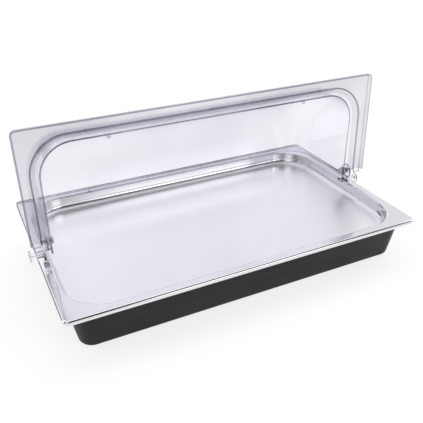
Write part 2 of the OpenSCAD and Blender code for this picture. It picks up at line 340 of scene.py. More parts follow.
def make_steel():
    """Polished sheet whose floor has a satin, brushed finish. The polished walls and rim are
    painted a darker grey than the floor: painted shade.
    """
    m = Nodes("stainless_steel")
    coords = m.add("TexCoord")
    axes = m.add("SeparateXYZ")
    m.link(coords.outputs["Object"], axes.inputs["Vector"])
    floor_z = RIM_Z - TRAY_DEPTH
    polish_and_shade = m.spread(axes.outputs["Z"], 0, 1, floor_z + SATIN_TOP, floor_z + MIRROR_START)
    cloud = m.noise(9, 4)
    brushed = m.noise(420, 3, 0.6, (0.05, 1, 1))
    satin = m.spread(cloud, 0.30, 0.38)
    mirror = m.spread(cloud, 0.075, 0.14)
    gloss = m.add("Mix", data_type="FLOAT")
    m.link(polish_and_shade, gloss.inputs["Factor"])
    m.link(satin, gloss.inputs[2])
    m.link(mirror, gloss.inputs[3])
    ripple = m.bump(m.noise(14, 2), 0.2 * MM, 0.25)
    grain = m.bump(brushed, 0.004 * MM, 0.5, ripple)
    tone = m.spread(cloud, 0, 1)
    # Painted shade: the polished walls and rim get a darker base colour than the satin floor.
    # The noise tone between the pairs is random.
    colour = m.blend(polish_and_shade, m.blend(tone, (0.87, 0.87, 0.89), (0.92, 0.92, 0.93)),
                     m.blend(tone, (0.77, 0.77, 0.79), (0.82, 0.82, 0.84)))
    return m.set(Base_Color=colour, Metallic=1.0, Roughness=gloss.outputs[0],
                 Normal=grain).material


def make_black_plastic():
    """Satin black moulding with a fine grain and faint scuffs."""
    m = Nodes("black_moulded_plastic")
    cloud = m.noise(16, 4)
    grain = m.noise(1400, 2, 0.6)
    scuff = m.noise(120, 5, 0.7, (0.15, 1, 1))
    colour = m.blend(m.spread(scuff, 0, 1, 0.45, 0.8), (0.007, 0.007, 0.009),
                     (0.016, 0.016, 0.020))
    rough = m.spread(cloud, 0.36, 0.50)
    pores = m.bump(grain, 0.03 * MM, 0.5)
    waves = m.bump(cloud, 0.3 * MM, 0.15, pores)
    return m.set(Base_Color=colour, Roughness=rough, Normal=waves,
                 Specular_IOR_Level=0.22).material


def make_pack_shell():
    """Cloudy pale blue polyethylene over the gel."""
    m = Nodes("pack_shell")
    cloud = m.noise(22, 4)
    colour = m.blend(m.spread(cloud, 0, 1), (0.44, 0.62, 0.76), (0.62, 0.76, 0.86))
    rough = m.spread(m.noise(160, 3), 0.36, 0.52)
    skin = m.bump(m.noise(500, 3), 0.05 * MM, 0.5)
    return m.set(Base_Color=colour, Roughness=rough, Normal=skin,
                 Subsurface_Weight=0.25, Subsurface_Scale=0.012).material


def make_pack_plug():
    """Blue moulded plug."""
    m = Nodes("pack_plug_blue")
    colour = m.blend(m.noise(60, 3), (0.035, 0.10, 0.28), (0.06, 0.16, 0.38))
    rough = m.spread(m.noise(220, 3), 0.32, 0.46)
    skin = m.bump(m.noise(900, 2), 0.03 * MM, 0.5)
    return m.set(Base_Color=colour, Roughness=rough, Normal=skin).material


# How a clear sheet's tint and mirror share grow with the slant, and its roughness range
TINT_POWER = 3.0
MIRROR_POWER = 5.0
MIRROR_GROWTH = 0.9
HAZE_RANGE = 2.2


def clear_sheet(name, through, grazing, rough, mirror, cloud):
    """Clear plastic sheet: what is behind shows through, tinted from through to
    grazing where the wall is seen at a slant and in soft patches. A share of mirror
    grows with the slant, as a Fresnel share does."""
    m = Nodes(name)
    ripple = m.bump(m.noise(7, 1), 0.3 * MM, 0.15)
    haze = m.spread(m.noise(46, 4, 0.6), rough, rough * HAZE_RANGE)
    m.set(Base_Color=(0.9, 0.91, 0.94), Metallic=1.0, Roughness=haze, Normal=ripple)
    facing = m.add("LayerWeight", Blend=0.5)
    m.link(ripple, facing.inputs["Normal"])
    slant = m.power(facing.outputs["Facing"], TINT_POWER)
    depth = m.add("Math", operation="ADD", use_clamp=True)
    m.link(slant, depth.inputs[0])
    m.link(m.spread(m.noise(5, 2), 0.0, cloud), depth.inputs[1])
    seen = m.add("BsdfTransparent")
    m.link(m.blend(depth.outputs[0], through, grazing), seen.inputs["Color"])
    share = m.add("Math", operation="MULTIPLY_ADD", use_clamp=True)
    m.link(m.power(facing.outputs["Facing"], MIRROR_POWER), share.inputs[0])
    share.inputs[1].default_value = MIRROR_GROWTH
    share.inputs[2].default_value = mirror
    join = m.add("MixShader")
    m.link(share.outputs[0], join.inputs[0])
    m.link(seen.outputs[0], join.inputs[1])
    m.link(m.shader.outputs[0], join.inputs[2])
    m.link(join.outputs[0], m.output.inputs["Surface"])
    return m.material


def make_clear_bracket():
    """Thick clear moulding that bends what is seen through it."""
    m = Nodes("clear_bracket")
    rough = m.spread(m.noise(300, 3), 0.02, 0.06)
    ripple = m.bump(m.noise(120, 2), 0.1 * MM, 0.4)
    return m.set(Base_Color=(0.93, 0.94, 0.97), Transmission_Weight=1.0, IOR=1.58,
                 Roughness=rough, Normal=ripple).material


def make_pin_steel():
    """Turned steel with fine rings round the pin."""
    m = Nodes("turned_steel")
    rings = m.add("TexWave", wave_type="BANDS", bands_direction="X", Scale=900)
    m.link(m.where(), rings.inputs["Vector"])
    colour = m.blend(m.noise(90, 3), (0.50, 0.50, 0.52), (0.64, 0.64, 0.66))
    rough = m.spread(m.noise(240, 3), 0.29, 0.38)
    turned = m.bump(rings.outputs["Fac"], 0.01 * MM, 0.5)
    return m.set(Base_Color=colour, Metallic=1.0, Roughness=rough,
                 Normal=turned).material


def make_nylon():
    """Natural nylon, slightly see-through."""
    m = Nodes("natural_nylon")
    colour = m.blend(m.noise(120, 3), (0.76, 0.79, 0.84), (0.88, 0.90, 0.93))
    rough = m.spread(m.noise(260, 3), 0.28, 0.42)
    skin = m.bump(m.noise(800, 2), 0.02 * MM, 0.4)
    return m.set(Base_Color=colour, Roughness=rough, Normal=skin,
                 Transmission_Weight=0.45, IOR=1.53).material


STEEL = make_steel()
BLACK = make_black_plastic()
PACK_SHELL = make_pack_shell()
PACK_PLUG = make_pack_plug()
CLEAR = clear_sheet("clear_polycarbonate", (0.976, 0.976, 0.987), (0.93, 0.93, 0.95),
                    rough=0.015, mirror=0.03, cloud=0.5)
# Painted shade: the flange and the nubs get a greyer tint than the rest of the same clear sheet.
CLEAR_FLANGE_PAINTED_SHADE = clear_sheet("clear_polycarbonate_flange_painted_shade", (0.89, 0.89, 0.905),
                           (0.72, 0.72, 0.75), rough=0.02, mirror=0.04, cloud=0.6)
# Painted dark line: the strip of the bend beside the flange is tinted much darker than the rest
# of the same clear sheet.
CLEAR_BEND_PAINTED_DARK_LINE = clear_sheet("clear_polycarbonate_bend_painted_dark_line", (0.50, 0.50, 0.55),
                         (0.28, 0.28, 0.31), rough=0.02, mirror=0.05, cloud=0.7)
# Painted dark lines: the walls' cut edges turn near black at a slant, standing in for the dark
# lines that light draws along a clear sheet's edges.
CLEAR_EDGE_PAINTED_DARK_LINE = clear_sheet("clear_polycarbonate_edge_painted_dark_line", (0.62, 0.62, 0.67),
                         (0.02, 0.02, 0.03), rough=0.04, mirror=0.06, cloud=1.0)
# Painted dark lines: the rims of the flange and of its bend are tinted dark.
CLEAR_LIP_PAINTED_DARK_LINE = clear_sheet("clear_polycarbonate_lip_painted_dark_line", (0.50, 0.50, 0.55),
                        (0.10, 0.10, 0.12), rough=0.04, mirror=0.10, cloud=0.03)
# In the order of the places of face materials
SHELL_MATERIALS = (CLEAR, CLEAR_EDGE_PAINTED_DARK_LINE, CLEAR_FLANGE_PAINTED_SHADE, CLEAR_LIP_PAINTED_DARK_LINE, CLEAR_BEND_PAINTED_DARK_LINE, CLEAR_LIP_PAINTED_DARK_LINE)
BRACKET = make_clear_bracket()
PIN_STEEL = make_pin_steel()
NYLON = make_nylon()


# --------------------------------------------------------------- mesh helpers

def arc(centre, radius, start, stop, steps):
    """Points on an arc in a plane, both ends included. Angles are in degrees."""
    turns = np.radians(np.linspace(start, stop, steps + 1))
    return [(centre[0] + radius * math.cos(a), centre[1] + radius * math.sin(a))
            for a in turns]


def circle(centre, radius, steps=40):
    """Points round a circle, anticlockwise."""
    return arc(centre, radius, 0, 360, steps)[:-1]


def ring(half_x, half_y, radius, z):
    """A level loop round a rectangle with round corners, from +X towards +Y."""
    loop = []
    for quarter, (sx, sy) in enumerate([(1, 1), (-1, 1), (-1, -1), (1, -1)]):
        centre = (sx * (half_x - radius), sy * (half_y - radius))
        start = 90 * quarter
        for x, y in arc(centre, radius, start, start + 90, CORNER_STEPS):
            loop.append((x, y, z))
    return loop


def link_piece(name, bm, materials):
    """Makes a smooth-shaded object from bm, which is used up."""
    mesh = bpy.data.meshes.new(name)
    bm.to_mesh(mesh)
    bm.free()
    for material in materials:
        mesh.materials.append(material)
    mesh.shade_smooth()
    piece = bpy.data.objects.new(name, mesh)
    bpy.context.scene.collection.objects.link(piece)
    return piece


def finish_piece(name, bm, material):
    """Makes an object in one material from bm."""
    bmesh.ops.remove_doubles(bm, verts=bm.verts, dist=MERGE)
    bmesh.ops.recalc_face_normals(bm, faces=bm.faces)
    piece = link_piece(name, bm, [material])
    add_weighted_normals(piece)
    return piece


def add_bevel(piece, width):
    """Rounds every sharp edge."""
    bevel = piece.modifiers.new("edges", "BEVEL")
    bevel.width = width
    bevel.segments = EDGE_STEPS
    bevel.limit_method = "ANGLE"
    bevel.angle_limit = SHARP_ANGLE
    bevel.use_clamp_overlap = True


def add_weighted_normals(piece):
    """Keeps large flat faces flat in smooth shading."""
    weighted = piece.modifiers.new("normals", "WEIGHTED_NORMAL")
    weighted.mode = "FACE_AREA"
    weighted.weight = 50
    weighted.keep_sharp = False


def add_loop(bm, loop):
    return [bm.verts.new(point) for point in loop]


def bridge(bm, first, second, closed=True, material=0):
    """A strip of faces between two loops of vertices of the same length."""
    count = len(first)
    for i in range(count if closed else count - 1):
        j = (i + 1) % count
        face = bm.faces.new((first[i], first[j], second[j], second[i]))
        face.material_index = material


def join_loops(bm, made, closed=True):
    """Joins loops of vertices in turn into a skin."""
    for first, second in zip(made, made[1:]):
        bridge(bm, first, second, closed)


def stack(bm, loops, cap_last=True):
    """Joins loops of points in turn into a skin, with a face over the first and, by
    choice, the last. Returns the last one's vertices."""
    made = [add_loop(bm, loop) for loop in loops]
    join_loops(bm, made)
    bm.faces.new(made[0])
    if cap_last:
        bm.faces.new(made[-1])
    return made[-1]


def fill(bm, loops):
    """A flat face inside the first loop of vertices and outside the others."""
    verts = [v for loop in loops for v in loop]
    for triangle in tessellate_polygon([[v.co for v in loop] for loop in loops]):
        corners = {verts[i] for i in triangle}
        if len(corners) == 3:
            bm.faces.new([verts[i] for i in triangle])


# Least cosine of a corner's half turn, so that sharp corners don't shoot out
SHARPEST = 0.35


def offset(outline, distance):
    """A closed outline moved inwards by distance. The outline runs anticlockwise."""
    points = np.array(outline)
    before = points - np.roll(points, 1, axis=0)
    after = np.roll(points, -1, axis=0) - points
    before /= np.linalg.norm(before, axis=1)[:, None]
    after /= np.linalg.norm(after, axis=1)[:, None]
    normal = np.stack([-before[:, 1] - after[:, 1], before[:, 0] + after[:, 0]], 1)
    normal /= np.linalg.norm(normal, axis=1)[:, None]
    straight = np.stack([-after[:, 1], after[:, 0]], 1)
    reach = distance / np.maximum((normal * straight).sum(1), SHARPEST)
    return [tuple(p) for p in points + normal * reach[:, None]]


def level(u, v, w):
    """Places a plate that lies flat."""
    return u, v, w


def across(u, v, w):
    """Places a plate that stands across X."""
    return w, u, v


def bevelled_plate(bm, outline, holes, low, high, edge, place):
    """A plate from low to high with rounded edges. Each hole is an outline and a
    depth from the top, or None where it goes through. place turns (u, v, w) into
    a point."""
    def walls(shape, inward, levels):
        made = []
        for inset, w in levels:
            flat = offset(shape, inward * inset) if inset else shape
            made.append(add_loop(bm, [place(u, v, w) for u, v in flat]))
        join_loops(bm, made)
        return made[0], made[-1]

    turns = np.radians(np.linspace(0, 90, EDGE_STEPS + 1))
    top = [(edge * (1 - math.cos(a)), high - edge * (1 - math.sin(a))) for a in turns]
    bottom = [(inset, low + high - w) for inset, w in reversed(top)]
    floor, ceiling = walls(outline, 1, bottom + top)
    floors, ceilings = [floor], [ceiling]
    for shape, depth in holes:
        through = depth is None
        lower, upper = walls(shape, -1, (bottom if through else [(0, high - depth)]) + top)
        ceilings.append(upper)
        if through:
            floors.append(lower)
        else:
            fill(bm, [lower])
    fill(bm, floors)
    fill(bm, ceilings)


def lathe(bm, profile, centre, closed=False):
    """Turns (x, radius) points about the line through centre along X."""
    turns = np.linspace(0, 2 * math.pi, LATHE_STEPS, endpoint=False)
    made = [add_loop(bm, [(x, centre.y + radius * math.cos(a), centre.z + radius * math.sin(a))
                          for a in turns]) for x, radius in profile]
    join_loops(bm, made)
    if closed:
        bridge(bm, made[-1], made[0])
    else:
        bm.faces.new(made[0])
        bm.faces.new(made[-1])


def dress(piece, body, slot, *nodes):
    """The piece moves with body and stands for the nodes. slot is not used."""
    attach(piece, body)
    if nodes:
        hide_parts(*nodes)


# ----------------------------------------------------------------- steel tray

def mouth_ring(u, drop):
    """A loop round the mouth whose corners have radius u, drop below the rim."""
    reach_x = HALF_X - RIM_WIDTH - MOUTH_RADIUS
    reach_y = HALF_Y - RIM_WIDTH - MOUTH_RADIUS
    return ring(reach_x + u, reach_y + u, u, RIM_Z - drop)


def lip_ring(u, drop):
    """A loop round the rim whose corners have radius u, drop below the rim."""
    reach_x = HALF_X - RIM_CORNER
    reach_y = HALF_Y - RIM_CORNER
    return ring(reach_x + u, reach_y + u, u, RIM_Z - drop)


def dish(inner):
    """Loops of the tray's inner face, or of its outer face one sheet further out."""
    extra = 0 if inner else SHEET
    wall = MOUTH_RADIUS - MOUTH_BEND
    floor_bend = FLOOR_BEND + extra
    mouth_bend = MOUTH_BEND - extra
    section = arc((wall - FLOOR_BEND, TRAY_DEPTH - FLOOR_BEND), floor_bend, 90, 0, ROUND_STEPS)
    section += arc((MOUTH_RADIUS, MOUTH_BEND), mouth_bend, 180, 270, BEND_STEPS)
    return [mouth_ring(u, v) for u, v in section]


def lip(inner):
    """Loops of the turned-down lip's inner face, or of its outer face."""
    extra = 0 if inner else SHEET
    section = arc((RIM_CORNER - LIP_BEND, LIP_BEND), LIP_BEND - extra, 270, 360, BEND_STEPS)
    section += arc(TUCK_CENTRE, LIP_TUCK - extra, 0, LIP_TUCK_ANGLE, BEND_STEPS)
    return [lip_ring(u, v) for u, v in section]


def hem():
    """Loops round the lip's lower edge, from one face to the other."""
    middle = LIP_TUCK - SHEET / 2
    turn = math.radians(LIP_TUCK_ANGLE)
    centre = (TUCK_CENTRE[0] + middle * math.cos(turn), TUCK_CENTRE[1] + middle * math.sin(turn))
    section = arc(centre, SHEET / 2, LIP_TUCK_ANGLE, LIP_TUCK_ANGLE + 180, HEM_STEPS)
    return [lip_ring(u, v) for u, v in section[1:-1]]


def make_tray():
    bm = bmesh.new()
    stack(bm, dish(True) + lip(True) + hem() + lip(False)[::-1] + dish(False)[::-1])
    piece = finish_piece("tray_pressing", bm, STEEL)
    dress(piece, "tray", "steel", "steel_tray")


# ---------------------------------------------------------------- cooling tub

def tub_ring(u, z):
    """A level loop round the tub whose corners have radius u, under the band."""
    reach_x = TUB_HIGH.x - BAND_STEP_X - TUB_RADIUS
    reach_y = TUB_HIGH.y - BAND_STEP_Y - TUB_RADIUS
    return ring(reach_x + u, reach_y + u, max(u, TUB_LEAST_RADIUS), z)


def band_ring(inset, z):
    """A level loop inside the band's outer face."""
    return ring(TUB_HIGH.x - inset, TUB_HIGH.y - inset, BAND_CORNER - inset, z)


def tub_skin(inset, foot_z, radius):
    """Loops round the foot of the leaning wall, and the wall's u at the band."""
    band_z = TUB_TOP - BAND_DEPTH
    slope = TUB_DRAFT / band_z
    stretch = math.sqrt(1 + slope * slope)
    edge = TUB_RADIUS - inset
    centre_z = foot_z + radius
    centre_u = edge - slope * (band_z - centre_z) - radius * stretch
    lean = math.degrees(math.atan(slope))
    points = arc((centre_u, centre_z), radius, -90, -lean, ROUND_STEPS)
    return [tub_ring(u, z) for u, z in points], edge


def tub_band(edge, band_z):
    """Loops from the wall's top at edge, out and up round the band."""
    soft = BAND_ROUNDING
    loops = [tub_ring(edge - BAND_FILLET_OUT, band_z - BAND_FILLET), tub_ring(edge, band_z)]
    loops += [band_ring(soft - u, band_z + soft - v)
              for u, v in arc((0, 0), soft, 90, 0, EDGE_STEPS)]
    loops += [band_ring(soft - u, TUB_TOP - soft + v)
              for u, v in arc((0, 0), soft, 0, 90, EDGE_STEPS)]
    return loops


def tub_rabbet(inner_edge, band_z):
    """Loops from the band's top down over the tray's seat and into the tub."""
    half_x = HALF_X - RIM_WIDTH + RABBET_GAP
    half_y = HALF_Y - RIM_WIDTH + RABBET_GAP
    loops = [ring(half_x + u, half_y + u, TUB_RADIUS + u, TUB_TOP - v)
             for u, v in ((RABBET_CHAMFER, 0), (0, RABBET_CHAMFER), (0, RABBET_DEPTH))]
    ledge_z = TUB_TOP - RABBET_DEPTH
    return loops + [tub_ring(inner_edge + LEDGE_CHAMFER, ledge_z),
                    tub_ring(inner_edge, ledge_z - LEDGE_CHAMFER), tub_ring(inner_edge, band_z)]


def make_tub():
    outer, edge = tub_skin(0, 0, FOOT_RADIUS)
    inner, inner_edge = tub_skin(TUB_WALL, TUB_FLOOR, FOOT_RADIUS - TUB_WALL)
    band_z = TUB_TOP - BAND_DEPTH
    foot_u = TUB_RADIUS - TUB_DRAFT - 2 * FOOT_RADIUS
    underside = [tub_ring(foot_u - FOOT_RECESS, FOOT_RECESS),
                 tub_ring(foot_u - RECESS_EDGE, RECESS_EDGE_RISE), tub_ring(foot_u, 0)]
    bm = bmesh.new()
    stack(bm, underside + outer + tub_band(edge, band_z) + tub_rabbet(inner_edge, band_z)
          + inner[::-1])
    piece = finish_piece("tub_moulding", bm, BLACK)
    dress(piece, "base", "black_plastic", "base_tub")


# -------------------------------------------------------------- cooling packs

def panel_outline(half_x, half_y, radius, notch):
    """A rectangle with round corners and a round notch in its far side."""
    outline = []
    for quarter, (sx, sy) in enumerate([(1, 1), (-1, 1), (-1, -1), (1, -1)]):
        if quarter == 1:
            outline += arc((0, half_y), notch, 0, -180, steps=20)
        centre = (sx * (half_x - radius), sy * (half_y - radius))
        outline += arc(centre, radius, 90 * quarter, 90 * quarter + 90, CORNER_STEPS)
    return outline


def pack_skin(half_x, half_y, low_z, high_z):
    """Loops round the pack from its underside to its top face."""
    soft = PACK_ROUNDING
    turns = arc((0, 0), soft, -90, 0, SOFT_STEPS)
    section = [(u, low_z + soft + v) for u, v in turns]
    section += [(u, high_z - soft - v) for u, v in turns[::-1]]
    return [ring(half_x - soft + u, half_y - soft + u, PACK_CORNER - soft + u, z)
            for u, z in section]


def sink(bm, outline, section, top_z):
    """A recess in a top face, floor and all. Returns its upper loop of vertices."""
    made = [add_loop(bm, [(x, y, top_z - down) for x, y in offset(outline, inwards)])
            for inwards, down in section]
    join_loops(bm, made)
    fill(bm, [made[-1]])
    return made[0]


def add_beads(bm, half_x, half_y, panel_z):
    """Raised beads across the panel."""
    reach = half_x - PANEL_INSET - BEAD_MARGIN
    for row in range(BEAD_COUNT):
        y = -half_y + PANEL_INSET + BEAD_START + row * BEAD_STEP
        bead = arc((reach, y), BEAD_RADIUS, -90, 90, ROUND_STEPS)
        bead += arc((-reach, y), BEAD_RADIUS, 90, 270, ROUND_STEPS)
        bevelled_plate(bm, bead, [], panel_z - BEAD_ROUNDING, panel_z + BEAD_RISE,
                       BEAD_ROUNDING, level)


def make_pack(side):
    node = f"cooling_pack_{side}"
    low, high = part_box(node)
    middle = (low + high) / 2
    half_x = (high.x - low.x) / 2
    half_y = (high.y - low.y) / 2
    bm = bmesh.new()
    top = stack(bm, pack_skin(half_x, half_y, low.z, high.z), cap_last=False)
    panel = panel_outline(half_x - PANEL_INSET, half_y - PANEL_INSET, PACK_CORNER, PLUG_INSET)
    step = sink(bm, panel, PANEL_STEP, high.z)
    mouth = circle((0, half_y - PLUG_INSET), PLUG_RADIUS + BORE_GAP)
    bore = sink(bm, mouth, BORE_STEP, high.z)
    fill(bm, [top, step, bore])
    add_beads(bm, half_x, half_y, high.z - PANEL_SINK)
    bmesh.ops.translate(bm, verts=bm.verts, vec=(middle.x, middle.y, 0))
    piece = finish_piece(f"pack_shell_{side}", bm, PACK_SHELL)
    dress(piece, f"pack_{side}", "pack_shell", node)


def cross_outline(centre, length, width):
    """A plus sign, anticlockwise."""
    far, near = length / 2, width / 2
    arm = [(far, -near), (far, near), (near, near)]
    corners = []
    for _ in range(4):
        corners += arm
        arm = [(-y, x) for x, y in arm]
    return [(centre[0] + x, centre[1] + y) for x, y in corners]


def make_plug(side):
    node = f"pack_plug_{side}"
    low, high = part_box(node)
    middle = (low + high) / 2
    centre = (middle.x, middle.y)
    cross = cross_outline(centre, CROSS_LENGTH, CROSS_WIDTH)
    bm = bmesh.new()
    bevelled_plate(bm, circle(centre, (high.x - low.x) / 2, steps=56), [(cross, CROSS_DEPTH)],
                   low.z, high.z, PLATE_ROUNDING, level)
    piece = finish_piece(f"plug_{side}", bm, PACK_PLUG)
    dress(piece, f"pack_{side}", "pack_plug", node)


# --------------------------------------------------------------- cover shells

def span(reach):
    """Places along X between reach and -reach, both ends left out."""
    return np.linspace(reach, -reach, SPAN_STEPS + 1)[1:-1]


def shell_columns(half, radius, corner):
    """The shell's long section from one side wall to the other, as (x, distance
    from the pivot, outward direction along x, outward direction away)."""
    columns = []
    for x, d in arc((half - corner, radius - corner), corner, 0, 90, CORNER_STEPS):
        columns.append((x, d, (x - half + corner) / corner, (d - radius + corner) / corner))
    columns += [(x, radius, 0.0, 1.0) for x in span(half - corner)]
    columns += [(-x, d, -nx, nd) for x, d, nx, nd in columns[:CORNER_STEPS + 1][::-1]]
    return columns


def side_run(near, far):
    """Places along a straight side, both ends included."""
    return list(np.linspace(near, far, SIDE_STEPS + 1))


def arch(radius, cut):
    """Points (y, z) of an arch round the pivot, from its cut edge down to the back."""
    end = math.pi / 2 + math.asin(cut / radius)
    return [(radius * math.cos(a), radius * math.sin(a))
            for a in np.linspace(end, 0, ARCH_STEPS)]


def trim(bm, loops, painted_line_at, painted_line_face, face):
    """A bend along a flange, with its own material on the strip beside the flange: a darker
    clear one, a painted dark line.
    """
    for i, (first, second) in enumerate(zip(loops, loops[1:])):
        material = painted_line_face if i == painted_line_at else face
        bridge(bm, first, second, closed=False, material=material)


def cover_surface(bm, half, radius, corner, cut, bend, start, seat, painted_line_face, face):
    """The outer face of a shell above its flange, with the pivot at y = z = 0 and
    the back at +Y: arch, walls under it, and the bend out to the flange. Returns the
    vertices along the end of the bend."""
    wall_foot = -PIVOT_UP + seat + WALL + bend
    columns = shell_columns(half, radius, corner)
    join_loops(bm, [add_loop(bm, [(x, y, z) for y, z in arch(d, cut) + [(d, wall_foot)]])
                    for x, d, nx, nd in columns], closed=False)
    # bend along the straight sides, the corners and the back
    foot = [(half, y, 1.0, 0.0) for y in side_run(start, radius - corner)[:-1]]
    foot += columns
    foot += [(-x, y, -nx, ny) for x, y, nx, ny in foot[:SIDE_STEPS][::-1]]
    turned = []
    for u, v in arc((bend, 0), bend, 180, 270, BEND_STEPS):
        turned.append(add_loop(bm, [(x + nx * u, y + ny * u, wall_foot + v)
                                    for x, y, nx, ny in foot]))
    trim(bm, turned, BEND_STEPS - 1, painted_line_face, face)
    return turned[-1]


def side_wall(bm, sign, half, radius, corner, cut, start, wall_foot, lower_end):
    """The flat side of a shell: inside its arch, over its flange and down to
    lower_end, which is a list of (y, z) from the flange's start to the front edge."""
    inner = radius - corner
    outline = arch(inner, cut)
    outline += [(y, wall_foot) for y in side_run(start, inner)[::-1]]
    outline += lower_end
    bm.faces.new([bm.verts.new((sign * half, y, z)) for y, z in outline])


def flange_outline(half, depth, corner, start, inset, z):
    """Points round the flange's outer edge, one for each point of the bend's foot."""
    points = [(half - inset, y) for y in side_run(start, depth - corner)[:-1]]
    points += arc((half - corner, depth - corner), corner - inset, 0, 90, CORNER_STEPS)
    points += [(x, depth - inset) for x in span(half - corner)]
    points += [(-x, y) for x, y in points[:SIDE_STEPS + 1 + CORNER_STEPS][::-1]]
    return [(x, y, z) for x, y in points]


def solid_sheet(piece):
    """Gives an outer face the wall's thickness, with other materials on the rim: darker clear
    ones, painted dark edge lines.
    """
    sheet = piece.modifiers.new("wall", "SOLIDIFY")
    sheet.thickness = WALL - SEAT_GAP
    sheet.offset = -1
    sheet.use_even_offset = True
    sheet.use_quality_normals = True
    sheet.material_offset_rim = 1
    add_bevel(piece, WALL_ROUNDING)
    add_weighted_normals(piece)


def turn_outward(bm, point):
    """Turns all faces so that the one nearest to point looks its way."""
    bmesh.ops.recalc_face_normals(bm, faces=bm.faces)
    nearest = min(bm.faces, key=lambda face: (face.calc_center_median() - point).length)
    if nearest.normal.dot(point) < 0:
        bmesh.ops.reverse_faces(bm, faces=bm.faces)


def finish_shell(name, bm, guide):
    """Makes a shell with a wall thickness from its outer face. guide is a point high
    on its back, where the face looks outwards."""
    bmesh.ops.remove_doubles(bm, verts=bm.verts, dist=MERGE)
    turn_outward(bm, guide)
    piece = link_piece(name, bm, SHELL_MATERIALS)
    solid_sheet(piece)
    return piece


def make_rear_shell():
    bm = bmesh.new()
    foot = cover_surface(bm, REAR_HALF, REAR_RADIUS, SHELL_CORNER, REAR_CUT, REAR_BEND,
                         REAR_START, 0, WALL_FACE, WALL_FACE)
    top = -PIVOT_UP + WALL
    bottom = -PIVOT_UP + SIDE_GAP
    lower = [(REAR_START, bottom), (-REAR_CUT, bottom)]
    for sign in (1, -1):
        side_wall(bm, sign, REAR_HALF, REAR_RADIUS, SHELL_CORNER, REAR_CUT, REAR_START,
                  top + REAR_BEND, lower)
    edge = add_loop(bm, flange_outline(REAR_FLANGE_HALF, REAR_FLANGE_DEPTH, FLANGE_CORNER,
                                       REAR_START, 0, top))
    bridge(bm, foot, edge, closed=False, material=WALL_FACE)
    bmesh.ops.translate(bm, verts=bm.verts, vec=PIVOT)
    piece = finish_shell("rear_shell", bm, PIVOT + UP_AND_BACK * REAR_RADIUS)
    dress(piece, "cover", "clear_cover", "rear_cover")


def to_rest():
    """Takes the front half from its closed place, drawn at the back, to where it
    stands rolled back."""
    return (Matrix.Translation(PIVOT) @ Matrix.Rotation(-OPEN_ANGLE, 4, "X")
            @ Matrix.Scale(-1, 4, (0, 1, 0)))


def make_front_shell():
    bm = bmesh.new()
    foot = cover_surface(bm, FRONT_HALF, FRONT_RADIUS, SHELL_CORNER, FRONT_CUT, FRONT_BEND,
                         FRONT_START, FRONT_SEAT, BEND_FACE, FLANGE_FACE)
    top = -PIVOT_UP + FRONT_SEAT + WALL
    near = -90 + math.degrees(math.asin(FRONT_START / HUB_RADIUS))
    far = -90 - math.degrees(math.asin(FRONT_CUT / HUB_RADIUS))
    hub = arc((0, 0), HUB_RADIUS, near, far, ROUND_STEPS)
    # end of the side flange over the bracket's foot
    end_x = FRONT_FLANGE_HALF - LIP_EDGE
    tongue = [(FLANGE_END_X, FLANGE_END_Y), (end_x, FLANGE_END_Y), (end_x, FRONT_START),
              (FLANGE_END_X, FRONT_START)]
    for sign in (1, -1):
        side_wall(bm, sign, FRONT_HALF, FRONT_RADIUS, SHELL_CORNER, FRONT_CUT, FRONT_START,
                  top + FRONT_BEND, hub)
        bm.faces.new([bm.verts.new((sign * x, y, top)) for x, y in tongue])
    loops = [flange_outline(FRONT_FLANGE_HALF, FRONT_FLANGE_DEPTH, FLANGE_CORNER, FRONT_START,
                            LIP_EDGE - u, top - LIP_EDGE + v)
             for u, v in arc((0, 0), LIP_EDGE, 90, 0, SOFT_STEPS)]
    loops.append(flange_outline(FRONT_FLANGE_HALF, FRONT_FLANGE_DEPTH, FLANGE_CORNER,
                                FRONT_START, 0, top - WALL - LIP_HANG))
    made = [add_loop(bm, loop) for loop in loops]
    bridge(bm, foot, made[0], closed=False, material=FLANGE_FACE)
    trim(bm, made, 0, BEND_FACE, FLANGE_FACE)
    bmesh.ops.transform(bm, verts=bm.verts, matrix=to_rest())
    piece = finish_shell("front_shell", bm, to_rest() @ (UP_AND_BACK * FRONT_RADIUS))
    dress(piece, "front", "clear_cover", "front_cover")


def nub(bm, x, centre, radius, reach, place):
    """A round nub with a soft tip, about a line through x and centre. place turns
    (across the line, along it) into (y, z)."""
    rounding = min(NUB_ROUNDING, radius / 3)
    bevelled_plate(bm, circle((x, centre), radius, steps=24), [], 0, reach, rounding,
                   lambda u, v, w: (u, *place(v, w)))


def make_rear_nubs():
    bm = bmesh.new()
    face = PIVOT.y - REAR_CUT + ROOT
    for sign in (-1, 1):
        nub(bm, sign * NUB_X, PIVOT.z + REAR_RADIUS - NUB_RADIUS, NUB_RADIUS,
            NUB_REACH + ROOT, lambda z, out: (face - out, z))
    piece = finish_piece("rear_nubs", bm, CLEAR_FLANGE_PAINTED_SHADE)
    dress(piece, "cover", "clear_cover")


